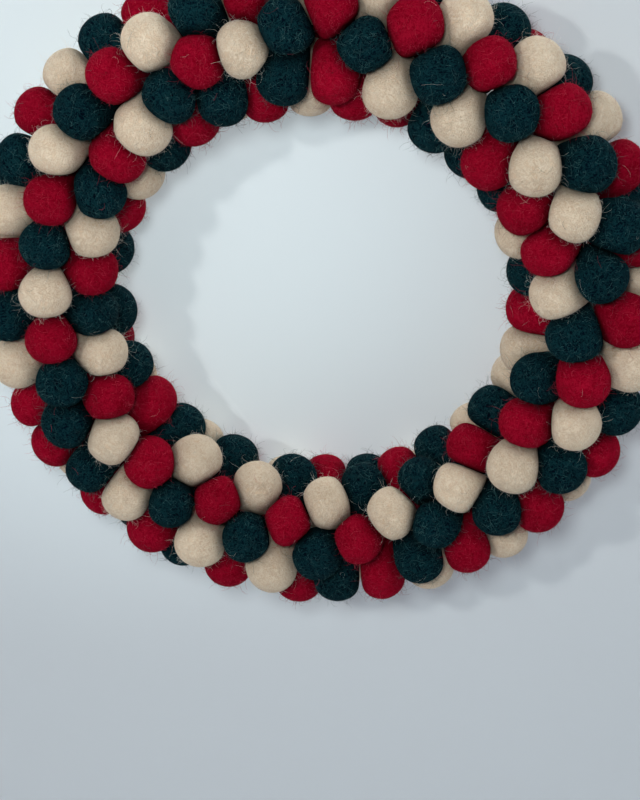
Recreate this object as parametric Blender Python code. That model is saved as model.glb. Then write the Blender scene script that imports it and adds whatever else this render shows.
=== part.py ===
"""Felt ball wreath: a ring of wool felt balls in three colours, squeezed together all round its tube.

Metres, +Z up, front towards -Y. The origin is the hanging point, the top of the hole's inner edge.
"""

import math

import bmesh
import bpy
import numpy as np
from mathutils import Vector
from mathutils.geometry import delaunay_2d_cdt

# Driving sizes
BALL_RADIUS = 0.0125
RING_RADIUS = 0.1225
TUBE_RADIUS = 0.0238
HOLE_RADIUS = RING_RADIUS - TUBE_RADIUS - BALL_RADIUS
SQUEEZE = 0.88
PITCH = SQUEEZE * 2 * BALL_RADIUS
ARCS = 16
ARC_GAP = 0.0004
# The share of an arc by which the borders are turned on from the right side
ARC_TURN = 0.3
# A ball with more than this share of its neighbours in another arc joins that arc
MOST_FOREIGN = 0.55

# Handmade balls differ: the spread of their radius, as a share, and of how far out they sit
SIZE_SPREAD = 0.025
SEAT_SPREAD = 0.0006
SPREAD_SEED = 7

# How the laid strands settle: the pull back to their place, and the share of an overlap undone in a step
HOLD = 0.2
EASE = 0.3
SETTLING_STEPS = 60

# A ball goes in wherever this share of the pitch is free, in three passes over a net of places, nearest
# first to the balls within about this share of the pitch
FREE_SHARES = (0.93, 0.86, 0.82)
SCAN_RING_DEG = 2.5
SCAN_TUBE_DEG = 6.0
CROWD_REACH = 0.6

# How far each ring of a ball's points lies from its top towards its creases, the least pull of each of
# three balls on the hollow between them, and the distance under which two points are one
RING_SHARES = (0.67, 0.34)
LEAST_CORNER_SHARE = 0.14
SAME_SPOT = 1e-7

# The three felts, in the order in which they follow each other on a strand
FELTS = (
    ("red_felt", (0.36, 0.004, 0.016)),
    ("cream_felt", (0.72, 0.61, 0.47)),
    ("green_felt", (0.004, 0.035, 0.032)),
)
RED, CREAM, GREEN = range(3)
FELT_ROUGHNESS = 0.95

# Strands of balls laid along the ring, in degrees: around the ring clockwise from its right side, and
# around the tube outwards from its front. order is the step from one ball's colour to the next.
# ring_from, ring_to, tube_from, tube_middle, tube_to, balls, first colour, order
STRANDS = (
    (157, 202, -42, -59, -45, 5, RED, 1),
    (214, 251, -33, -27, 2, 5, GREEN, 1),
    (260, 292, 2, 38, 98, 5, CREAM, 1),
    (165, 208, -6, -6, 4, 5, GREEN, 1),
    (216, 262, 28, 36, 59, 6, CREAM, 1),
    (160, 200, 66, 45, 58, 5, RED, 1),
    (210, 242, 65, 90, 106, 5, GREEN, 1),
    (206, 241, -108, -94, -71, 4, RED, 1),
    (252, 267, -52, -42, -33, 2, GREEN, 0),
    (278, 291, -36, -33, -30, 2, RED, 1),
    (298, 320, 2, 54, 101, 4, GREEN, 1),
    (283, 306, 5, 53, 98, 4, GREEN, 1),
    (307, 327, -28, 32, 107, 4, CREAM, 1),
    (320, 336, -45, 10, 90, 4, RED, 1),
    (334, 349, -44, 22, 79, 4, RED, 1),
    (344, 416, -38, 4, 68, 8, RED, 1),
    (352, 392, 7, 63, 82, 5, GREEN, 1),
    (19, 71, -44, -2, 79, 6, GREEN, 1),
    (28, 64, -115, -66, -15, 5, CREAM, 1),
    (342, 376, -77, -94, -94, 4, CREAM, 1),
    (260, 271, -70, -80, -91, 2, RED, 1),
    (282, 294, -80, -90, -99, 2, RED, 0),
    (304, 330, -79, -91, -93, 3, GREEN, 0),
    (63, 110, -60, -8, 68, 6, GREEN, -1),
    (70, 127, -98, -36, 46, 7, RED, -1),
    (100, 136, -99, -36, 20, 5, GREEN, -1),
    (118, 138, -107, -65, -26, 3, GREEN, -1),
    (148, 156, -23, -3, 17, 2, CREAM, 1),
    (70, 80, 23, 35, 46, 2, GREEN, 1),
    (89, 97, 36, 46, 57, 2, GREEN, 1),
    (136, 147, -99, -96, -94, 2, GREEN, 1),
    (138, 152, 71, 71, 61, 2, RED, 0),
    (158, 192, -90, -106, -118, 3, GREEN, 0),
    (47, 58, -115, -110, -105, 2, CREAM, 1),
    (81, 92, -123, -125, -127, 2, GREEN, 1),
)


def clear_scene():
    for thing in list(bpy.data.objects):
        bpy.data.objects.remove(thing)


def tube_directions(ring, tube):
    """Unit vectors along the ring, round the tube, and out of the tube, at angles in radians."""
    along = np.stack([-np.sin(ring), 0 * ring, -np.cos(ring)], -1)
    away = np.stack([np.cos(ring), 0 * ring, -np.sin(ring)], -1)
    front = np.array([0.0, -1.0, 0.0])
    out = away * np.sin(tube)[..., None] + front * np.cos(tube)[..., None]
    over = away * np.cos(tube)[..., None] - front * np.sin(tube)[..., None]
    return along, over, out


def on_tube(ring, tube, radius=TUBE_RADIUS):
    """Points on the ring's tube, at angles in radians."""
    away = RING_RADIUS + radius * np.sin(tube)
    x = away * np.cos(ring)
    y = -radius * np.cos(tube)
    z = -away * np.sin(ring) - HOLE_RADIUS
    return np.stack([x, y, z], -1)


def lay_strands():
    """Angles and colours of the balls on the strands, evenly spaced on a smooth bend."""
    ring, tube, colour = [], [], []
    for ring_from, ring_to, start, middle, end, balls, first, order in STRANDS:
        bend = 2 * (start + end) - 4 * middle
        for i in range(balls):
            share = i / (balls - 1)
            ring.append(ring_from + (ring_to - ring_from) * share)
            tube.append(start + (end - start - bend) * share + bend * share * share)
            colour.append((first + order * i) % len(FELTS))
    return np.radians(ring), np.radians(tube), np.array(colour)


def settle(ring, tube, home_ring, home_tube, hold):
    """Pushes apart balls that lie nearer than the pitch, while the strands pull back to their place."""
    for _ in range(SETTLING_STEPS):
        centres = on_tube(ring, tube)
        apart = centres[:, None] - centres[None]
        distance = np.linalg.norm(apart, axis=-1)
        np.fill_diagonal(distance, np.inf)
        push = np.clip(PITCH - distance, 0, None) / distance
        move = EASE * (apart * push[..., None]).sum(1)
        along, over, _out = tube_directions(ring, tube)
        away = RING_RADIUS + TUBE_RADIUS * np.sin(tube)
        ring = ring + (move * along).sum(1) / away + hold * (home_ring - ring)
        tube = tube + (move * over).sum(1) / TUBE_RADIUS + hold * (home_tube - tube)
    return ring, tube


def fill_room(ring, tube, colour, free_share):
    """Adds balls where there is room, the most crowded place first, in the colour rarest around it."""
    scan_ring = np.radians(np.arange(0, 360, SCAN_RING_DEG))
    scan_tube = np.radians(np.arange(-180, 180, SCAN_TUBE_DEG))
    scan_ring, scan_tube = (grid.ravel() for grid in np.meshgrid(scan_ring, scan_tube, indexing="ij"))
    places = on_tube(scan_ring, scan_tube)
    distance = np.linalg.norm(places[:, None] - on_tube(ring, tube)[None], axis=-1)
    while True:
        free = distance.min(1) >= free_share * PITCH
        if not free.any():
            return ring, tube, colour
        crowding = np.exp(-((distance / PITCH / CROWD_REACH) ** 2)).sum(1)
        best = int(np.argmax(np.where(free, crowding, -1)))
        nearness = np.exp(-((distance[best] / PITCH) ** 2))
        rarest = int(np.argmin([nearness[colour == felt].sum() for felt in range(len(FELTS))]))
        ring = np.append(ring, scan_ring[best])
        tube = np.append(tube, scan_tube[best])
        colour = np.append(colour, rarest)
        added = np.linalg.norm(places - places[best], axis=-1)
        distance = np.append(distance, added[:, None], axis=1)


def lay_balls():
    """Angles and colours of all the balls: the strands first, then the room left round the back."""
    ring, tube, colour = lay_strands()
    laid = len(ring)
    home_ring, home_tube = ring, tube
    ring, tube = settle(ring, tube, home_ring, home_tube, HOLD)
    for free_share in FREE_SHARES:
        ring, tube, colour = fill_room(ring, tube, colour, free_share)
        home_ring = np.append(home_ring[:laid], ring[laid:])
        home_tube = np.append(home_tube[:laid], tube[laid:])
        hold = np.where(np.arange(len(ring)) < laid, HOLD, 0)
        ring, tube = settle(ring, tube, home_ring, home_tube, hold)
    return ring % math.tau, tube % math.tau, colour


def vary_balls(count):
    """Each ball's radius, and its distance from the ring's line."""
    chance = np.random.default_rng(SPREAD_SEED)
    radius = BALL_RADIUS * (1 + SIZE_SPREAD * np.clip(chance.normal(size=count), -2, 2))
    seat = TUBE_RADIUS + SEAT_SPREAD * np.clip(chance.normal(size=count), -2, 2)
    return radius, seat


def flat_tube_height(tube):
    """The tube's angle stretched so that the ring's surface unrolls onto a plane with true shapes."""
    straight = math.sqrt(RING_RADIUS**2 - TUBE_RADIUS**2)
    turns, rest = np.divmod(tube + math.pi, math.tau)
    half = (rest - math.pi) / 2
    height = np.arctan((RING_RADIUS * np.tan(half) + TUBE_RADIUS) / straight) / math.pi
    return (height + turns) * math.tau * TUBE_RADIUS / straight


def touching_triples(ring, tube):
    """Every three balls that meet round one hollow, as rows of ball numbers."""
    height = flat_tube_height(tube)
    rise = float(flat_tube_height(np.array([math.tau]))[0] - flat_tube_height(np.array([0.0]))[0])
    count = len(ring)
    spots = [
        Vector((ring[i] + across * math.tau, height[i] + up * rise))
        for across in (-1, 0, 1)
        for up in (-1, 0, 1)
        for i in range(count)
    ]
    points, _edges, faces, origins, _from_edges, _from_faces = delaunay_2d_cdt(spots, [], [], 0, SAME_SPOT)
    lowest = float(height.min())
    triples = []
    for face in faces:
        middle = sum((points[corner] for corner in face), Vector((0, 0))) / 3
        if 0 <= middle.x < math.tau and lowest <= middle.y < lowest + rise:
            triples.append([origins[corner][0] % count for corner in face])
    return np.array(triples)


def hollow_point(centres, outs):
    """The bottom of the hollow between three balls."""
    a, b, c = centres
    side_a, side_b, side_c = (float((gap * gap).sum()) for gap in (b - c, c - a, a - b))
    weights = np.array([
        side_a * (side_b + side_c - side_a),
        side_b * (side_c + side_a - side_b),
        side_c * (side_a + side_b - side_c),
    ])
    weights = np.clip(weights / weights.sum(), LEAST_CORNER_SHARE, None)
    foot = (centres * (weights / weights.sum())[:, None]).sum(0)
    reach = np.linalg.norm(centres - foot, axis=-1).mean()
    normal = np.cross(b - a, c - a)
    normal *= np.sign(normal @ outs.sum(0)) / np.linalg.norm(normal)
    return foot + normal * math.sqrt(max(BALL_RADIUS**2 - reach**2, 0))


def saddle_point(centres, outs):
    """The top of the crease where two balls press together."""
    span = centres[1] - centres[0]
    half = np.linalg.norm(span) / 2
    out = outs.sum(0)
    out = out - span * (out @ span) / (span @ span)
    rise = math.sqrt(max(BALL_RADIUS**2 - half**2, 0))
    return centres.mean(0) + out / np.linalg.norm(out) * rise


def crease_loops(triples, centres, outs):
    """The crease round each ball, as keys of points in order, and the place of each point."""
    places, around = {}, {}
    for triple in triples:
        triple = list(triple)
        hollow = tuple(sorted(triple))
        places[hollow] = hollow_point(centres[triple], outs[triple])
        for turn in range(3):
            ball, after, before = triple[turn:] + triple[:turn]
            around.setdefault(ball, {})[after] = (before, hollow)
    loops = {}
    for ball, steps in around.items():
        loop = []
        neighbour = next(iter(steps))
        for _ in steps:
            saddle = tuple(sorted((ball, neighbour)))
            if saddle not in places:
                pair = list(saddle)
                places[saddle] = saddle_point(centres[pair], outs[pair])
            neighbour, hollow = steps[neighbour]
            loop += [saddle, hollow]
        loops[ball] = loop
    return loops, places


def share_out(ring, triples):
    """The arc that each ball belongs to. A ball that mostly touches another arc's balls joins that arc."""
    arc = np.floor(ring / math.tau * ARCS - ARC_TURN).astype(int) % ARCS
    for ball in range(len(ring)):
        around = np.unique(triples[(triples == ball).any(1)])
        others = arc[around[around != ball]]
        most = int(np.bincount(others).argmax())
        if (others == most).mean() > MOST_FOREIGN:
            arc[ball] = most
    return arc


def dome_point(centre, radius, out, edge, share):
    """A point of the ball's surface, a share of the way from its top to a point of its crease."""
    towards = edge - centre
    towards /= np.linalg.norm(towards)
    angle = math.acos(max(-1.0, min(1.0, float(out @ towards))))
    sideways = towards - out * math.cos(angle)
    sideways /= np.linalg.norm(sideways)
    return centre + radius * (out * math.cos(angle * share) + sideways * math.sin(angle * share))


def add_ball(mesh, rim, centre, radius, out, felt):
    """One ball's dome inside its rim: a ring of points under each rim point, a coarser ring, a top."""
    faces = []
    count = len(rim)
    edges = [np.array(point.co) for point in rim]
    outer_points = [dome_point(centre, radius, out, edge, RING_SHARES[0]) for edge in edges]
    outer = [mesh.verts.new(point) for point in outer_points]
    inner_points = [dome_point(centre, radius, out, edge, RING_SHARES[1]) for edge in edges[1::2]]
    inner = [mesh.verts.new(point) for point in inner_points]
    top = mesh.verts.new(centre + out * radius)
    for i in range(count):
        after = (i + 1) % count
        faces.append(mesh.faces.new((rim[i], rim[after], outer[after])))
        faces.append(mesh.faces.new((rim[i], outer[after], outer[i])))
    for i in range(len(inner)):
        after = (i + 1) % len(inner)
        first, middle, last = outer[2 * i + 1], outer[(2 * i + 2) % count], outer[(2 * i + 3) % count]
        faces.append(mesh.faces.new((first, middle, inner[i])))
        faces.append(mesh.faces.new((inner[i], middle, inner[after])))
        faces.append(mesh.faces.new((middle, last, inner[after])))
        faces.append(mesh.faces.new((inner[i], inner[after], top)))
    for face in faces:
        face.material_index = felt
        face.smooth = True


def close_end(mesh, rim, heart):
    """The hidden end of an arc: a fan from the rim to a point on the ring's own line."""
    middle = mesh.verts.new(heart)
    for edge in rim:
        face = mesh.faces.new((*edge.verts, middle))
        face.material_index = CREAM


def boundary_loops(mesh):
    """The open edges of a band, split into its two ends."""
    left = {edge for edge in mesh.edges if edge.is_boundary}
    ends = []
    while left:
        growing = [left.pop()]
        end = []
        while growing:
            edge = growing.pop()
            end.append(edge)
            for point in edge.verts:
                beside = [other for other in point.link_edges if other in left]
                left.difference_update(beside)
                growing += beside
        ends.append(end)
    return ends


def ring_angle(point):
    """The angle around the ring of a point in space."""
    return math.atan2(-point[2] - HOLE_RADIUS, point[0])


def pull_in_ends(mesh, ends, middle_angle):
    """Moves each open end half the gap towards its arc's middle, and finds each end's heart."""
    hearts = []
    for end in ends:
        rim = {point for edge in end for point in edge.verts}
        turns = [math.remainder(ring_angle(point.co) - middle_angle, math.tau) for point in rim]
        end_angle = middle_angle + sum(turns) / len(turns)
        shift = ARC_GAP / 2 if end_angle < middle_angle else -ARC_GAP / 2
        along = Vector((-math.sin(end_angle), 0, -math.cos(end_angle)))
        for point in rim:
            point.co += along * shift
        heart = on_tube(np.array(end_angle), np.array(0.0), 0.0)
        hearts.append(Vector(heart) + along * shift)
    return hearts


def make_arc(number, balls, loops, places, centres, radii, outs, colour):
    """One arc of the wreath: its balls' domes on a shared crease net, closed at both hidden ends."""
    mesh = bmesh.new()
    shared = {}
    for ball in balls:
        rim = []
        for key in loops[ball]:
            if key not in shared:
                shared[key] = mesh.verts.new(places[key])
            rim.append(shared[key])
        add_ball(mesh, rim, centres[ball], radii[ball], outs[ball], int(colour[ball]))
    ends = boundary_loops(mesh)
    middle_angle = (number + 0.5 + ARC_TURN) * math.tau / ARCS
    hearts = pull_in_ends(mesh, ends, middle_angle)
    for end, heart in zip(ends, hearts):
        close_end(mesh, end, heart)
    bmesh.ops.recalc_face_normals(mesh, faces=mesh.faces)
    data = bpy.data.meshes.new(f"ball_arc_{number + 1:02d}")
    mesh.to_mesh(data)
    mesh.free()
    arc = bpy.data.objects.new(data.name, data)
    bpy.context.scene.collection.objects.link(arc)
    return arc


def make_felts():
    felts = []
    for name, colour in FELTS:
        felt = bpy.data.materials.new(name)
        felt.use_nodes = True
        shader = felt.node_tree.nodes["Principled BSDF"]
        shader.inputs["Base Color"].default_value = (*colour, 1)
        shader.inputs["Roughness"].default_value = FELT_ROUGHNESS
        shader.inputs["Metallic"].default_value = 0
        felt.diffuse_color = (*colour, 1)
        felts.append(felt)
    return felts


clear_scene()
felts = make_felts()
ring, tube, colour = lay_balls()
radii, seats = vary_balls(len(ring))
centres = on_tube(ring, tube, seats)
_along, _over, outs = tube_directions(ring, tube)
triples = touching_triples(ring, tube)
loops, places = crease_loops(triples, centres, outs)
arc_of_ball = share_out(ring, triples)
for number in range(ARCS):
    balls = np.flatnonzero(arc_of_ball == number)
    arc = make_arc(number, balls, loops, places, centres, radii, outs, colour)
    for felt in felts:
        arc.data.materials.append(felt)
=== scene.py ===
import math

import bpy
import numpy as np
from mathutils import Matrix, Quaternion, Vector


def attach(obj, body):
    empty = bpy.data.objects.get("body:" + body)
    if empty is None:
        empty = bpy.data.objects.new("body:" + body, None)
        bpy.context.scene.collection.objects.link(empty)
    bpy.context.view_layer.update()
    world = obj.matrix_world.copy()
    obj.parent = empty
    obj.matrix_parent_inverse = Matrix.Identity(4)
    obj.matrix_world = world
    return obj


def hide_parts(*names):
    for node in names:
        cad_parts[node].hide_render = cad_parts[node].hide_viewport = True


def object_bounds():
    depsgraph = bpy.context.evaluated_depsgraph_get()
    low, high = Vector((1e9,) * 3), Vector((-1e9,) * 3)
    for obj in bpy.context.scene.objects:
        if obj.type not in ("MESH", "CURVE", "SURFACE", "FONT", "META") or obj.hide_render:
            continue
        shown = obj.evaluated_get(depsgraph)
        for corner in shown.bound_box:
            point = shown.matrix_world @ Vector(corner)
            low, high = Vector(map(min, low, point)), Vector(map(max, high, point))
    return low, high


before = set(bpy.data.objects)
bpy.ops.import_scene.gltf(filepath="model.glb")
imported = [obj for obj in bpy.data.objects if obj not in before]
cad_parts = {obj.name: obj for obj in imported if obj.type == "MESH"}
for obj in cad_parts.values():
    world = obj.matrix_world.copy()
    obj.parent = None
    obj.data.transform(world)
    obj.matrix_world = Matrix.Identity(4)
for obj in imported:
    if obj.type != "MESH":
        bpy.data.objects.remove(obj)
cad_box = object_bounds()
bpy.ops.object.select_all(action="DESELECT")

# The camera stands above the middle of the wreath and a little to its right, a little tilted, and looks
# down at it, so the top of the ring is nearer than the bottom. The ring runs out of the picture at the
# top and at both sides.
RING_RADIUS = 0.1225
TUBE_RADIUS = 0.0238
BALL_RADIUS = 0.0125
HOLE_RADIUS = RING_RADIUS - TUBE_RADIUS - BALL_RADIUS
RING_CENTRE = Vector((0, 0, -HOLE_RADIUS))
CAMERA_PLACE = Vector((0.759, -5.935, 2.516)) * RING_RADIUS
CAMERA_SIGHT = Vector((-0.1158, 0.8897, -0.4416))
CAMERA_ROLL = -0.0606
CAMERA_LENS = 78.3
SENSOR_WIDTH = 36
NEAREST_SEEN = 0.01

camera = bpy.data.objects.new("camera", bpy.data.cameras.new("camera"))
bpy.context.collection.objects.link(camera)
camera.data.lens = CAMERA_LENS
camera.data.sensor_width = SENSOR_WIDTH
camera.data.clip_start = NEAREST_SEEN
camera.location = RING_CENTRE + CAMERA_PLACE
aim = CAMERA_SIGHT.to_track_quat("-Z", "Y") @ Quaternion((0, 0, 1), CAMERA_ROLL)
camera.rotation_euler = aim.to_euler()
bpy.context.scene.camera = camera
bpy.context.scene.view_settings.view_transform = "Standard"

# The studio beyond the wall and the floor is a plain pale shell. Only the camera sees it, and all light
# passes through it.
SHELL_RADIUS = 2.4
SHELL_COLOUR = (0.60, 0.66, 0.70, 1)
SHELL_SEGMENTS = 48
SHELL_RINGS = 24

shell_paint = bpy.data.materials.new("shell_paint")
shell_paint.use_nodes = True
nodes, links = shell_paint.node_tree.nodes, shell_paint.node_tree.links
nodes.remove(nodes["Principled BSDF"])
shell_glow = nodes.new("ShaderNodeEmission")
shell_glow.inputs["Color"].default_value = SHELL_COLOUR
shell_clear = nodes.new("ShaderNodeBsdfTransparent")
light_path = nodes.new("ShaderNodeLightPath")
seen = nodes.new("ShaderNodeMixShader")
links.new(light_path.outputs["Is Camera Ray"], seen.inputs["Fac"])
links.new(shell_clear.outputs[0], seen.inputs[1])
links.new(shell_glow.outputs[0], seen.inputs[2])
links.new(seen.outputs[0], nodes["Material Output"].inputs["Surface"])
bpy.ops.mesh.primitive_uv_sphere_add(segments=SHELL_SEGMENTS, ring_count=SHELL_RINGS, radius=SHELL_RADIUS)
shell = bpy.context.object
shell.name = "studio_shell"
shell.data.materials.append(shell_paint)

# A pale blue-grey wall stands just behind the balls and takes their shadow. It glows a little: painted
# light that stands in for the room's light on the wall, a pool brightest around the upper left of the hole
# and fading outwards. It is see-through from behind, and lets the light behind it pass, so the wreath's
# back can be seen and lit.
BACKDROP_SIZE = 5.0
FLOOR_DROP = 0.75
BACKDROP_GAP = 0.002
BACKDROP_COLOUR = (0.61, 0.69, 0.72, 1)
GLOW_PLACE = (-0.095, 0.04, -0.062)
GLOW_REACH = (0.05, 0.27)
GLOW_NEAR = (0.240, 0.271, 0.283, 1)
GLOW_FAR = (0.078, 0.064, 0.074, 1)
STAGE_ROUGHNESS = 0.9
STAGE_SHINE = 0.2
WALL_TURN = math.pi / 2


def plain_material(name, colour):
    """A plain matt stage material, and its shader."""
    material = bpy.data.materials.new(name)
    material.use_nodes = True
    shader = material.node_tree.nodes["Principled BSDF"]
    shader.inputs["Base Color"].default_value = colour
    shader.inputs["Roughness"].default_value = STAGE_ROUGHNESS
    shader.inputs["Specular IOR Level"].default_value = STAGE_SHINE
    return material, shader


wall_paint, wall_shader = plain_material("backdrop_paint", BACKDROP_COLOUR)
wall_shader.inputs["Emission Strength"].default_value = 1.0
nodes, links = wall_paint.node_tree.nodes, wall_paint.node_tree.links
wall_place = nodes.new("ShaderNodeTexCoord")
from_glow = nodes.new("ShaderNodeVectorMath")
from_glow.operation = "DISTANCE"
from_glow.inputs[1].default_value = GLOW_PLACE
links.new(wall_place.outputs["Object"], from_glow.inputs[0])
# Painted light: the wall's glow fades from GLOW_NEAR to GLOW_FAR with distance from GLOW_PLACE.
glow = nodes.new("ShaderNodeMapRange")
glow.interpolation_type = "SMOOTHSTEP"
glow.inputs["From Min"].default_value, glow.inputs["From Max"].default_value = GLOW_REACH
links.new(from_glow.outputs["Value"], glow.inputs["Value"])
glow_colour = nodes.new("ShaderNodeMix")
glow_colour.data_type = "RGBA"
glow_colour.inputs["A"].default_value = GLOW_NEAR
glow_colour.inputs["B"].default_value = GLOW_FAR
links.new(glow.outputs["Result"], glow_colour.inputs["Factor"])
links.new(glow_colour.outputs["Result"], wall_shader.inputs["Emission Color"])
clear = nodes.new("ShaderNodeBsdfTransparent")
back_side = nodes.new("ShaderNodeNewGeometry")
light_path = nodes.new("ShaderNodeLightPath")
either = nodes.new("ShaderNodeMath")
either.operation = "MAXIMUM"
links.new(back_side.outputs["Backfacing"], either.inputs[0])
links.new(light_path.outputs["Is Shadow Ray"], either.inputs[1])
show = nodes.new("ShaderNodeMixShader")
links.new(either.outputs[0], show.inputs["Fac"])
links.new(wall_shader.outputs[0], show.inputs[1])
links.new(clear.outputs[0], show.inputs[2])
links.new(show.outputs[0], nodes["Material Output"].inputs["Surface"])

bpy.ops.mesh.primitive_plane_add(size=BACKDROP_SIZE, rotation=(WALL_TURN, 0, 0))
backdrop = bpy.context.object
backdrop.name = "backdrop"
backdrop.location = (0, cad_box[1][1] + BACKDROP_GAP, BACKDROP_SIZE / 2 - FLOOR_DROP)
bpy.ops.object.transform_apply()
backdrop.data.materials.append(wall_paint)

# A plain pale floor lies well below the wreath.
FLOOR_COLOUR = (0.80, 0.82, 0.85, 1)
FLOOR_GLOW = 0.05

bpy.ops.mesh.primitive_plane_add(size=BACKDROP_SIZE, location=(0, 0, -FLOOR_DROP))
floor = bpy.context.object
floor.name = "floor"
floor_paint, floor_shader = plain_material("floor_paint", FLOOR_COLOUR)
floor_shader.inputs["Emission Color"].default_value = FLOOR_COLOUR
floor_shader.inputs["Emission Strength"].default_value = FLOOR_GLOW
floor.data.materials.append(floor_paint)

# Soft studio light: a panel in front of the top of the wreath lights most of it and fades downwards. A
# smaller one to the left throws a weak, sharper shadow to the lower right. Two faint ones near the wall
# catch the sides of the balls, and a wide one lights the back.
LIGHTS = (
    # name, place, power in watts, side of the square panel, colour
    ("panel", Vector((0.03, -0.72, 0.29)), 2.85, 0.12, (0.97, 1.0, 1.0)),
    ("key", Vector((-0.48, -0.9, 0.42)), 3.0, 0.06, (1.0, 0.95, 0.91)),
    ("right", Vector((0.80, -0.12, 0.20)), 1.1, 0.25, (0.95, 0.98, 1.0)),
    ("left", Vector((-0.80, -0.12, 0.20)), 0.7, 0.25, (0.95, 0.98, 1.0)),
    ("back", Vector((0.5, 1.7, 1.0)), 26.0, 1.4, (0.95, 0.98, 1.0)),
)
for name, place, power, side, tint in LIGHTS:
    light = bpy.data.lights.new(name, "AREA")
    light.energy = power
    light.size = side
    light.color = tint
    lamp = bpy.data.objects.new(name, light)
    bpy.context.collection.objects.link(lamp)
    lamp.location = place
    lamp.rotation_euler = (RING_CENTRE - place).to_track_quat("-Z", "Y").to_euler()

ROOM_COLOUR = (0.80, 0.90, 0.97, 1)
ROOM_STRENGTH = 0.15
world = bpy.data.worlds.new("studio")
world.use_nodes = True
world.node_tree.nodes["Background"].inputs["Color"].default_value = ROOM_COLOUR
world.node_tree.nodes["Background"].inputs["Strength"].default_value = ROOM_STRENGTH
bpy.context.scene.world = world

# The balls lie on the ring's tube in strands, each strand repeating the three colours in turn. Pushed
# together they settle, and the room left round the back is filled in the same way. No ball is laid
# by itself: this is the same rule, with the same sizes, as the solids of the frame follow.
SQUEEZE = 0.88
PITCH = SQUEEZE * 2 * BALL_RADIUS
SIZE_SPREAD = 0.025
SEAT_SPREAD = 0.0006
SPREAD_SEED = 7
HOLD = 0.2
EASE = 0.3
SETTLING_STEPS = 60
FREE_SHARES = (0.93, 0.86, 0.82)
SCAN_RING_DEG = 2.5
SCAN_TUBE_DEG = 6.0
CROWD_REACH = 0.6
FELTS = 3
RED, CREAM, GREEN = range(FELTS)
# ring_from, ring_to, tube_from, tube_middle, tube_to, balls, first colour, order, in degrees around the
# ring clockwise from its right side, and around the tube outwards from its front
STRANDS = (
    (157, 202, -42, -59, -45, 5, RED, 1),
    (214, 251, -33, -27, 2, 5, GREEN, 1),
    (260, 292, 2, 38, 98, 5, CREAM, 1),
    (165, 208, -6, -6, 4, 5, GREEN, 1),
    (216, 262, 28, 36, 59, 6, CREAM, 1),
    (160, 200, 66, 45, 58, 5, RED, 1),
    (210, 242, 65, 90, 106, 5, GREEN, 1),
    (206, 241, -108, -94, -71, 4, RED, 1),
    (252, 267, -52, -42, -33, 2, GREEN, 0),
    (278, 291, -36, -33, -30, 2, RED, 1),
    (298, 320, 2, 54, 101, 4, GREEN, 1),
    (283, 306, 5, 53, 98, 4, GREEN, 1),
    (307, 327, -28, 32, 107, 4, CREAM, 1),
    (320, 336, -45, 10, 90, 4, RED, 1),
    (334, 349, -44, 22, 79, 4, RED, 1),
    (344, 416, -38, 4, 68, 8, RED, 1),
    (352, 392, 7, 63, 82, 5, GREEN, 1),
    (19, 71, -44, -2, 79, 6, GREEN, 1),
    (28, 64, -115, -66, -15, 5, CREAM, 1),
    (342, 376, -77, -94, -94, 4, CREAM, 1),
    (260, 271, -70, -80, -91, 2, RED, 1),
    (282, 294, -80, -90, -99, 2, RED, 0),
    (304, 330, -79, -91, -93, 3, GREEN, 0),
    (63, 110, -60, -8, 68, 6, GREEN, -1),
    (70, 127, -98, -36, 46, 7, RED, -1),
    (100, 136, -99, -36, 20, 5, GREEN, -1),
    (118, 138, -107, -65, -26, 3, GREEN, -1),
    (148, 156, -23, -3, 17, 2, CREAM, 1),
    (70, 80, 23, 35, 46, 2, GREEN, 1),
    (89, 97, 36, 46, 57, 2, GREEN, 1),
    (136, 147, -99, -96, -94, 2, GREEN, 1),
    (138, 152, 71, 71, 61, 2, RED, 0),
    (158, 192, -90, -106, -118, 3, GREEN, 0),
    (47, 58, -115, -110, -105, 2, CREAM, 1),
    (81, 92, -123, -125, -127, 2, GREEN, 1),
)


def tube_directions(ring, tube):
    """Unit vectors along the ring, round the tube, and out of the tube, at angles in radians."""
    along = np.stack([-np.sin(ring), 0 * ring, -np.cos(ring)], -1)
    away = np.stack([np.cos(ring), 0 * ring, -np.sin(ring)], -1)
    front = np.array([0.0, -1.0, 0.0])
    out = away * np.sin(tube)[..., None] + front * np.cos(tube)[..., None]
    over = away * np.cos(tube)[..., None] - front * np.sin(tube)[..., None]
    return along, over, out


def on_tube(ring, tube, radius=TUBE_RADIUS):
    """Points on the ring's tube, at angles in radians."""
    away = RING_RADIUS + radius * np.sin(tube)
    x = away * np.cos(ring)
    y = -radius * np.cos(tube)
    z = -away * np.sin(ring) - HOLE_RADIUS
    return np.stack([x, y, z], -1)


def lay_strands():
    """Angles and colours of the balls on the strands, evenly spaced on a smooth bend."""
    ring, tube, colour = [], [], []
    for ring_from, ring_to, start, middle, end, balls, first, order in STRANDS:
        bend = 2 * (start + end) - 4 * middle
        for i in range(balls):
            share = i / (balls - 1)
            ring.append(ring_from + (ring_to - ring_from) * share)
            tube.append(start + (end - start - bend) * share + bend * share * share)
            colour.append((first + order * i) % FELTS)
    return np.radians(ring), np.radians(tube), np.array(colour)


def settle(ring, tube, home_ring, home_tube, hold):
    """Pushes apart balls that lie nearer than the pitch, while the strands pull back to their place."""
    for _ in range(SETTLING_STEPS):
        centres = on_tube(ring, tube)
        apart = centres[:, None] - centres[None]
        distance = np.linalg.norm(apart, axis=-1)
        np.fill_diagonal(distance, np.inf)
        push = np.clip(PITCH - distance, 0, None) / distance
        move = EASE * (apart * push[..., None]).sum(1)
        along, over, _out = tube_directions(ring, tube)
        away = RING_RADIUS + TUBE_RADIUS * np.sin(tube)
        ring = ring + (move * along).sum(1) / away + hold * (home_ring - ring)
        tube = tube + (move * over).sum(1) / TUBE_RADIUS + hold * (home_tube - tube)
    return ring, tube


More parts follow.
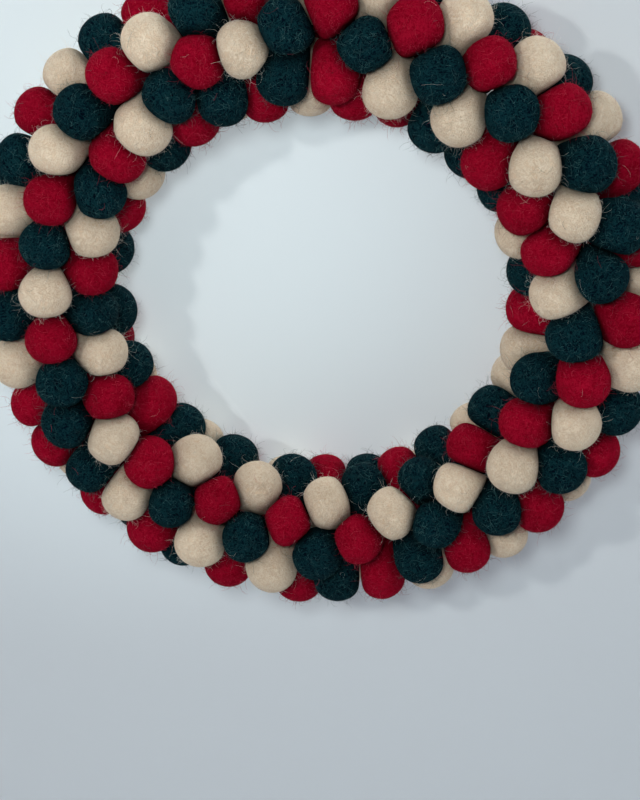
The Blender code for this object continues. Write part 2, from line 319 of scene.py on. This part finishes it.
def fill_room(ring, tube, colour, free_share):
    """Adds balls where there is room, the most crowded place first, in the colour rarest around it."""
    scan_ring = np.radians(np.arange(0, 360, SCAN_RING_DEG))
    scan_tube = np.radians(np.arange(-180, 180, SCAN_TUBE_DEG))
    scan_ring, scan_tube = (grid.ravel() for grid in np.meshgrid(scan_ring, scan_tube, indexing="ij"))
    places = on_tube(scan_ring, scan_tube)
    distance = np.linalg.norm(places[:, None] - on_tube(ring, tube)[None], axis=-1)
    while True:
        free = distance.min(1) >= free_share * PITCH
        if not free.any():
            return ring, tube, colour
        crowding = np.exp(-((distance / PITCH / CROWD_REACH) ** 2)).sum(1)
        best = int(np.argmax(np.where(free, crowding, -1)))
        nearness = np.exp(-((distance[best] / PITCH) ** 2))
        rarest = int(np.argmin([nearness[colour == felt].sum() for felt in range(FELTS)]))
        ring = np.append(ring, scan_ring[best])
        tube = np.append(tube, scan_tube[best])
        colour = np.append(colour, rarest)
        added = np.linalg.norm(places - places[best], axis=-1)
        distance = np.append(distance, added[:, None], axis=1)


ring, tube, colour = lay_strands()
laid = len(ring)
home_ring, home_tube = ring, tube
ring, tube = settle(ring, tube, home_ring, home_tube, HOLD)
for free_share in FREE_SHARES:
    ring, tube, colour = fill_room(ring, tube, colour, free_share)
    home_ring = np.append(home_ring[:laid], ring[laid:])
    home_tube = np.append(home_tube[:laid], tube[laid:])
    hold = np.where(np.arange(len(ring)) < laid, HOLD, 0)
    ring, tube = settle(ring, tube, home_ring, home_tube, hold)
chance = np.random.default_rng(SPREAD_SEED)
ball_radii = BALL_RADIUS * (1 + SIZE_SPREAD * np.clip(chance.normal(size=len(ring)), -2, 2))
ball_seats = TUBE_RADIUS + SEAT_SPREAD * np.clip(chance.normal(size=len(ring)), -2, 2)
ball_centres = on_tube(ring, tube, ball_seats)
_along, _over, ball_outs = tube_directions(ring, tube)

# A felt ball is wool wet-rolled round until it holds. It is a little lumpy, and where it is pressed
# against its neighbours it goes flat, with a soft edge, so that the two close up along a crease. Out of
# sight each ball runs on inwards to a blunt wedge, so that no light comes through between them.
CONTACT_GAP = 0.00006
CONTACT_SOFTNESS = 0.0015
BULGE = 0.02
NEIGHBOURS = 36
INWARD_REACH = 1.0
INWARD_TAPER = 2.2
LUMP_HEIGHT = 0.00030
LUMP_WAVES = 5
LUMP_FINENESS = 2.2
FORM_SUBDIVISIONS = 4
BALL_SEED = 21
CREASE_DEPTH = 0.0016

bpy.ops.mesh.primitive_ico_sphere_add(subdivisions=FORM_SUBDIVISIONS, radius=1)
ball_form = bpy.context.object
FORM_POINTS = np.array([point.co for point in ball_form.data.vertices])
FORM_FACES = np.array([face.vertices for face in ball_form.data.polygons])
bpy.data.objects.remove(ball_form)


def random_turns(chance, count):
    """Rotation matrices that point any way."""
    quaternions = chance.normal(size=(count, 4))
    quaternions /= np.linalg.norm(quaternions, axis=1)[:, None]
    w, x, y, z = quaternions.T
    rows = [
        1 - 2 * (y * y + z * z), 2 * (x * y - z * w), 2 * (x * z + y * w),
        2 * (x * y + z * w), 1 - 2 * (x * x + z * z), 2 * (y * z - x * w),
        2 * (x * z - y * w), 2 * (y * z + x * w), 1 - 2 * (x * x + y * y),
    ]
    return np.stack(rows, -1).reshape(count, 3, 3)


ball_chance = np.random.default_rng(BALL_SEED)
ball_turns = random_turns(ball_chance, len(ring))
lump_axes = ball_chance.normal(size=(len(ring), LUMP_WAVES, 3))
lump_axes *= (LUMP_FINENESS / np.linalg.norm(lump_axes, axis=-1))[..., None]
lump_phases = ball_chance.uniform(0, math.tau, size=(len(ring), LUMP_WAVES))
ball_tones = ball_chance.uniform(0, 1, size=len(ring))

# Each ball's nearest others: the directions to them, and how far off the plane between the two lies.
gaps = ball_centres[None] - ball_centres[:, None]
distances = np.linalg.norm(gaps, axis=-1)
nearest = np.argsort(distances, axis=1)[:, 1 : NEIGHBOURS + 1]
near_distances = np.take_along_axis(distances, nearest, 1)
near_ways = np.take_along_axis(gaps, nearest[..., None], 1) / near_distances[..., None]
radii_squared = ball_radii**2
near_planes = near_distances / 2 + (radii_squared[:, None] - radii_squared[nearest]) / (2 * near_distances)


def skin(owner, heads, raised=0.0):
    """Points of these balls' skins, each in its direction from the centre, and how far it is pressed in."""
    inward = np.clip(-(heads * ball_outs[owner]).sum(1), 0, 1)
    waves = np.sin((heads[:, None] * lump_axes[owner]).sum(2) + lump_phases[owner])
    reach = ball_radii[owner] * (1 + BULGE + INWARD_REACH * inward**INWARD_TAPER)
    reach = reach + LUMP_HEIGHT * 2 * waves.mean(1) + raised
    points = heads * reach[:, None]
    pressed_in = np.zeros(len(owner))
    for near in range(NEIGHBOURS):
        away = near_ways[owner, near]
        over = ((points * away).sum(1) - near_planes[owner, near] + CONTACT_GAP) / CONTACT_SOFTNESS
        pressed = CONTACT_SOFTNESS * np.logaddexp(0, over)
        points = points - away * pressed[:, None]
        pressed_in += pressed
    return ball_centres[owner] + points, pressed_in


def ball_piece(name, felt):
    """All the balls of one colour as one mesh, with the wool's own place and tone, and the painted crease
    shade, at each point.
    """
    balls = np.flatnonzero(colour == felt)
    owner = np.repeat(balls, len(FORM_POINTS))
    heads = np.concatenate([FORM_POINTS @ ball_turns[ball].T for ball in balls])
    points, pressed_in = skin(owner, heads)
    faces = np.concatenate([FORM_FACES + number * len(FORM_POINTS) for number in range(len(balls))])
    mesh = bpy.data.meshes.new(name)
    mesh.from_pydata(points.tolist(), [], faces.tolist())
    # Each ball's number moves it to a place of its own in the wool's pattern.
    wool = np.concatenate([FORM_POINTS * ball_radii[ball] + ball for ball in balls])
    mesh.attributes.new("wool_place", "FLOAT_VECTOR", "POINT").data.foreach_set("vector", wool.ravel())
    mesh.attributes.new("wool_tone", "FLOAT", "POINT").data.foreach_set("value", ball_tones[owner])
    # Painted shade: the more a point is pressed into its neighbours, the darker its colour is made, for the
    # shade in the crease.
    crease = 1 - np.exp(-pressed_in / CREASE_DEPTH)
    mesh.attributes.new("painted_crease_shade", "FLOAT", "POINT").data.foreach_set("value", crease)
    mesh.shade_smooth()
    piece = bpy.data.objects.new(name, mesh)
    bpy.context.collection.objects.link(piece)
    return piece


# Felted wool: fine fibres lie matted in swirls over each ball, so the colour mottles and the surface
# has a soft nap. One group gives the tint and the relief, and each felt mixes them into its own colours.
CLOUD_SCALE = 110.0
SWIRL_SCALE = 260.0
SWIRL_BEND = 0.0045
FIBRE_SCALE = 900.0
FIBRE_STRETCH = 0.22
FIBRE_NARROWNESS = 13.0
CLOUD_IN_MOTTLE = 0.7
SWIRL_IN_MOTTLE = 0.3
FIBRES_IN_HEIGHT = 0.7
SWIRL_IN_HEIGHT = 0.5

felt_grain = bpy.data.node_groups.new("felt_grain", "ShaderNodeTree")
for socket in ("Mottle", "Fibres", "Height"):
    felt_grain.interface.new_socket(socket, in_out="OUTPUT", socket_type="NodeSocketFloat")
nodes, links = felt_grain.nodes, felt_grain.links
group_out = nodes.new("NodeGroupOutput")
place = nodes.new("ShaderNodeAttribute")
place.attribute_name = "wool_place"


def noise(scale, detail, vector):
    """A noise node in the group."""
    made = nodes.new("ShaderNodeTexNoise")
    made.inputs["Scale"].default_value = scale
    made.inputs["Detail"].default_value = detail
    links.new(vector, made.inputs["Vector"])
    return made.outputs


def maths(operation, first, second):
    """A maths node in the group on two sockets or numbers."""
    made = nodes.new("ShaderNodeMath")
    made.operation = operation
    for i, value in enumerate((first, second)):
        if isinstance(value, (int, float)):
            made.inputs[i].default_value = value
        else:
            links.new(value, made.inputs[i])
    return made.outputs[0]


def fibres(stretch, vector):
    """Thin bright lines along the way that the stretch leaves long, bent by the swirls."""
    made = nodes.new("ShaderNodeVectorMath")
    made.operation = "MULTIPLY"
    links.new(vector, made.inputs[0])
    made.inputs[1].default_value = stretch
    ridge = maths("ABSOLUTE", maths("SUBTRACT", noise(FIBRE_SCALE, 2, made.outputs[0])["Fac"], 0.5), 0)
    return maths("MAXIMUM", maths("SUBTRACT", 1.0, maths("MULTIPLY", ridge, FIBRE_NARROWNESS)), 0.0)


cloud = noise(CLOUD_SCALE, 2, place.outputs["Vector"])
swirl = noise(SWIRL_SCALE, 2, place.outputs["Vector"])
bent = nodes.new("ShaderNodeVectorMath")
bent.operation = "MULTIPLY_ADD"
links.new(swirl["Color"], bent.inputs[0])
bent.inputs[1].default_value = (SWIRL_BEND, SWIRL_BEND, SWIRL_BEND)
links.new(place.outputs["Vector"], bent.inputs[2])
combed = fibres((1.0, FIBRE_STRETCH, 1.0), bent.outputs[0])
crossed = fibres((FIBRE_STRETCH, 1.0, 0.9), bent.outputs[0])
matted = maths("MAXIMUM", combed, crossed)
clouded = maths("MULTIPLY", cloud["Fac"], CLOUD_IN_MOTTLE)
mottle = maths("ADD", clouded, maths("MULTIPLY", swirl["Fac"], SWIRL_IN_MOTTLE))
raised = maths("MULTIPLY", matted, FIBRES_IN_HEIGHT)
height = maths("ADD", raised, maths("MULTIPLY", swirl["Fac"], SWIRL_IN_HEIGHT))
links.new(mottle, group_out.inputs["Mottle"])
links.new(matted, group_out.inputs["Fibres"])
links.new(height, group_out.inputs["Height"])


# The felts' materials: the mottle from deep to plain, the balls' lighter and darker tones, the painted
# shade in the creases, and a matt surface with hardly any shine.
MOTTLE_FROM = 0.30
MOTTLE_TO = 0.66
DARKEST_BALL = 0.92
LIGHTEST_BALL = 1.08
CREASE_SHADE = 0.5
FELT_ROUGHNESS = 0.95
FELT_SHINE = 0.02
SHEEN_ROUGHNESS = 0.5


def felt(name, deep, plain, pale, fibre_share, relief, sheen):
    """A felt's material: deep and plain wool mottled together, with paler fibres lying on top."""
    material = bpy.data.materials.new(name)
    material.use_nodes = True
    tree = material.node_tree
    shader = tree.nodes["Principled BSDF"]
    grain = tree.nodes.new("ShaderNodeGroup")
    grain.node_tree = felt_grain
    spread = tree.nodes.new("ShaderNodeMapRange")
    spread.inputs["From Min"].default_value = MOTTLE_FROM
    spread.inputs["From Max"].default_value = MOTTLE_TO
    tree.links.new(grain.outputs["Mottle"], spread.inputs["Value"])
    body = tree.nodes.new("ShaderNodeMix")
    body.data_type = "RGBA"
    body.inputs["A"].default_value = (*deep, 1)
    body.inputs["B"].default_value = (*plain, 1)
    tree.links.new(spread.outputs["Result"], body.inputs["Factor"])
    share = tree.nodes.new("ShaderNodeMath")
    share.operation = "MULTIPLY"
    share.inputs[1].default_value = fibre_share
    tree.links.new(grain.outputs["Fibres"], share.inputs[0])
    topped = tree.nodes.new("ShaderNodeMix")
    topped.data_type = "RGBA"
    topped.inputs["B"].default_value = (*pale, 1)
    tree.links.new(share.outputs[0], topped.inputs["Factor"])
    tree.links.new(body.outputs["Result"], topped.inputs["A"])
    tone = tree.nodes.new("ShaderNodeAttribute")
    tone.attribute_name = "wool_tone"
    light = tree.nodes.new("ShaderNodeMapRange")
    light.inputs["To Min"].default_value = DARKEST_BALL
    light.inputs["To Max"].default_value = LIGHTEST_BALL
    tree.links.new(tone.outputs["Fac"], light.inputs["Value"])
    tinted = tree.nodes.new("ShaderNodeHueSaturation")
    # Painted shade: the colour is darkened towards CREASE_SHADE where the ball is pressed into a crease.
    crease = tree.nodes.new("ShaderNodeAttribute")
    crease.attribute_name = "painted_crease_shade"
    shade = tree.nodes.new("ShaderNodeMapRange")
    shade.inputs["To Min"].default_value = 1.0
    shade.inputs["To Max"].default_value = CREASE_SHADE
    tree.links.new(crease.outputs["Fac"], shade.inputs["Value"])
    both = tree.nodes.new("ShaderNodeMath")
    both.operation = "MULTIPLY"
    tree.links.new(light.outputs["Result"], both.inputs[0])
    tree.links.new(shade.outputs["Result"], both.inputs[1])
    tree.links.new(both.outputs[0], tinted.inputs["Value"])
    tree.links.new(topped.outputs["Result"], tinted.inputs["Color"])
    tree.links.new(tinted.outputs["Color"], shader.inputs["Base Color"])
    bump = tree.nodes.new("ShaderNodeBump")
    bump.inputs["Strength"].default_value = 1.0
    bump.inputs["Distance"].default_value = relief
    tree.links.new(grain.outputs["Height"], bump.inputs["Height"])
    tree.links.new(bump.outputs["Normal"], shader.inputs["Normal"])
    shader.inputs["Roughness"].default_value = FELT_ROUGHNESS
    shader.inputs["Specular IOR Level"].default_value = FELT_SHINE
    shader.inputs["Sheen Weight"].default_value = sheen
    shader.inputs["Sheen Roughness"].default_value = SHEEN_ROUGHNESS
    shader.inputs["Sheen Tint"].default_value = (*pale, 1)
    return material


def dress_balls(piece, material):
    """The balls' finish, and their place in the frame: each arc's solid is made of all three felts."""
    piece.data.materials.append(material)
    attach(piece, "root")
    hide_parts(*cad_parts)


# The red balls are crimson wool, about a third of all, felted hard and held tight beside the others, so
# that each is pressed flat where it meets them.
RED_WOOL = (0.172, 0.0001, 0.007), (0.262, 0.0002, 0.0125), (0.45, 0.010, 0.038)
red_felt = felt("red_felt", *RED_WOOL, fibre_share=0.5, relief=0.00018, sheen=0.05)
red_balls = ball_piece("red_balls", RED)
dress_balls(red_balls, red_felt)

# The cream balls are undyed wool, warm white, with a painted grey shade in the creases. Their surface is
# looser,
# so its relief is deeper and its fuzz catches more light along the edges.
CREAM_WOOL = (0.64, 0.465, 0.315), (0.81, 0.635, 0.455), (0.92, 0.815, 0.655)
cream_felt = felt("cream_felt", *CREAM_WOOL, fibre_share=0.6, relief=0.00028, sheen=0.3)
cream_balls = ball_piece("cream_balls", CREAM)
dress_balls(cream_balls, cream_felt)

# The dark green balls are bottle green wool, with painted shade making it nearly black in the creases, and
# paler fibres matted into it that show on the dark ground.
GREEN_WOOL = (0.0001, 0.0018, 0.0056), (0.0001, 0.0055, 0.0125), (0.009, 0.054, 0.062)
green_felt = felt("green_felt", *GREEN_WOOL, fibre_share=0.6, relief=0.00018, sheen=0.04)
green_balls = ball_piece("green_balls", GREEN)
dress_balls(green_balls, green_felt)

# The wool's hairs: a short nap stands on every ball, longer stray hairs stand off it, and others lie
# curled on its surface. Some have strayed onto balls of another colour. Each is a fine three-sided tube
# that tapers to a tip.
HAIR_SEED = 5
ROOT_DEPTH = 0.0003
MOST_PRESSED = 0.0010
LOWEST_HEAD = -0.1
HAIR_LIFT = 0.00008
CURL_LEAN = 1.5
WANDER = 0.2
ROOT_WIDTH = 1.1
TIP_WIDTH = 0.6
SLANT = np.array([0.31, 0.52, 0.79])
WALL_SIDE = cad_box[1][1] + 0.0015
HAIR_KINDS = (
    # piece, hairs a ball, share strayed onto other colours, steps, lengths, rises, curl, radius
    ("nap", 110, 0.0, 1, (0.0007, 0.0018), (0.4, 2.5), (0.0, 0.0), 0.000090),
    ("nap", 60, 0.0, 2, (0.0014, 0.0040), (0.1, 1.3), (0.3, 1.2), 0.000066),
    ("nap", 12, 0.04, 5, (0.0060, 0.0140), (0.0, 0.0), (0.1, 0.6), 0.000040),
    ("strays", 66, 0.015, 4, (0.0024, 0.0090), (0.1, 1.7), (0.3, 1.2), 0.000048),
)


def unit(rows):
    """The rows scaled to length one."""
    return rows / np.linalg.norm(rows, axis=-1, keepdims=True)


def open_heads(chance, owner):
    """Directions from these balls' centres to where their skins lie open, not pressed or turned inwards."""
    heads = np.zeros((len(owner), 3))
    wanting = np.arange(len(owner))
    while len(wanting):
        tries = unit(chance.normal(size=(len(wanting), 3)))
        _points, pressed_in = skin(owner[wanting], tries)
        is_open = (pressed_in < MOST_PRESSED) & ((tries * ball_outs[owner[wanting]]).sum(1) > LOWEST_HEAD)
        heads[wanting[is_open]] = tries[is_open]
        wanting = wanting[~is_open]
    return heads


def hair_paths(chance, owner, steps, lengths, rises, curls):
    """Paths of hairs rooted on the outer side of these balls, as rows of points."""
    count = len(owner)
    heads = open_heads(chance, owner)
    roots, _pressed_in = skin(owner, heads)
    normal = unit(roots - ball_centres[owner])
    heading = unit(np.cross(normal, chance.normal(size=(count, 3))))
    heading = unit(heading + normal * chance.uniform(*rises, size=(count, 1)))
    curl_axis = chance.normal(size=(count, 3))
    curl_axis = unit(curl_axis + CURL_LEAN * normal * chance.choice((-1, 1), size=(count, 1)))
    curl = chance.uniform(*curls, size=(count, 1))
    step = chance.uniform(*lengths, size=(count, 1)) / steps
    lying = rises[1] == 0
    point = roots if lying else roots - normal * ROOT_DEPTH
    path = [point]
    for _ in range(steps):
        turned = heading + np.cross(curl_axis, heading) * curl
        heading = unit(turned + WANDER * chance.normal(size=(count, 3)))
        point = point + heading * step
        point[:, 1] = np.minimum(point[:, 1], WALL_SIDE)
        path.append(point)
    if lying:
        path = [skin(owner, unit(point - ball_centres[owner]), HAIR_LIFT)[0] for point in path]
    return np.stack(path, 1)


def tubes(paths, radius, first_point):
    """Points and faces of fine three-sided tubes along the paths, each running out to a tip."""
    count, stations, _ = paths.shape
    forward = unit(np.gradient(paths, axis=1))
    aside = unit(np.cross(forward, SLANT))
    across = np.cross(forward, aside)
    taper = radius * np.linspace(ROOT_WIDTH, TIP_WIDTH, stations)[None, :, None]
    turns = [math.tau * corner / 3 for corner in range(3)]
    rings = [paths + taper * (aside * math.cos(turn) + across * math.sin(turn)) for turn in turns]
    tube_points = np.stack(rings, 2)[:, :-1].reshape(count, -1, 3)
    points = np.concatenate([tube_points, paths[:, -1:]], 1)
    base = first_point + np.arange(count)[:, None] * points.shape[1]
    tip = (stations - 1) * 3
    quads, ends = [], [base + np.array([[2, 1, 0]])]
    for low in range(0, tip, 3):
        for corner in range(3):
            here, there = low + corner, low + (corner + 1) % 3
            if low + 3 < tip:
                quads += (base + np.array([[here, there, there + 3, here + 3]])).tolist()
            else:
                ends.append(base + np.array([[here, there, tip]]))
    return points.reshape(-1, 3), quads + np.concatenate(ends).tolist()


def hair_piece(felt_name, kind, felt_number, thickness, material):
    """The nap or the strays of one colour as one mesh, rooted on its own balls and a few on others."""
    chance = np.random.default_rng([HAIR_SEED, felt_number, len(kind)])
    own = np.flatnonzero(colour == felt_number)
    others = np.flatnonzero(colour != felt_number)
    points, faces = [], []
    for piece, per_ball, strayed, steps, lengths, rises, curls, radius in HAIR_KINDS:
        if piece != kind:
            continue
        visitors = chance.choice(others, int(len(own) * per_ball * strayed))
        owner = np.concatenate([np.repeat(own, per_ball), visitors])
        paths = hair_paths(chance, owner, steps, lengths, rises, curls)
        made = tubes(paths, thickness * radius, sum(len(rows) for rows in points))
        points.append(made[0])
        faces += made[1]
    name = felt_name + "_" + kind
    mesh = bpy.data.meshes.new(name)
    mesh.from_pydata(np.concatenate(points).tolist(), [], faces)
    mesh.shade_smooth()
    piece = bpy.data.objects.new(name, mesh)
    bpy.context.collection.objects.link(piece)
    piece.data.materials.append(material)
    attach(piece, "root")


# The hairs' colour runs from dark to pale in spots of a few millimetres.
HAIR_SPOT_SCALE = 160.0
HAIR_SPOTS = (0.35, 0.65)
HAIR_ROUGHNESS = 0.7
HAIR_SHINE = 0.2


def hair_material(name, dark, pale):
    """A hair's material: its colour runs from dark to pale by its place."""
    material = bpy.data.materials.new(name)
    material.use_nodes = True
    tree = material.node_tree
    shader = tree.nodes["Principled BSDF"]
    where = tree.nodes.new("ShaderNodeTexCoord")
    spots = tree.nodes.new("ShaderNodeTexNoise")
    spots.inputs["Scale"].default_value = HAIR_SPOT_SCALE
    tree.links.new(where.outputs["Object"], spots.inputs["Vector"])
    spread = tree.nodes.new("ShaderNodeMapRange")
    spread.inputs["From Min"].default_value, spread.inputs["From Max"].default_value = HAIR_SPOTS
    tree.links.new(spots.outputs["Fac"], spread.inputs["Value"])
    mixed = tree.nodes.new("ShaderNodeMix")
    mixed.data_type = "RGBA"
    mixed.inputs["A"].default_value = (*dark, 1)
    mixed.inputs["B"].default_value = (*pale, 1)
    tree.links.new(spread.outputs["Result"], mixed.inputs["Factor"])
    tree.links.new(mixed.outputs["Result"], shader.inputs["Base Color"])
    shader.inputs["Roughness"].default_value = HAIR_ROUGHNESS
    shader.inputs["Specular IOR Level"].default_value = HAIR_SHINE
    return material


HAIRS = (
    # name, felt, slot, thickness, dark end, pale end
    ("red", RED, "red_felt", 1.0, (0.18, 0.001, 0.010), (0.56, 0.045, 0.085)),
    ("cream", CREAM, "cream_felt", 0.6, (0.86, 0.79, 0.68), (0.96, 0.94, 0.88)),
    ("green", GREEN, "green_felt", 1.0, (0.001, 0.012, 0.018), (0.08, 0.20, 0.20)),
)
for name, felt_number, slot, thickness, dark, pale in HAIRS:
    wool = hair_material(name + "_hair", dark, pale)
    for kind in ("nap", "strays"):
        hair_piece(name, kind, felt_number, thickness, wool)
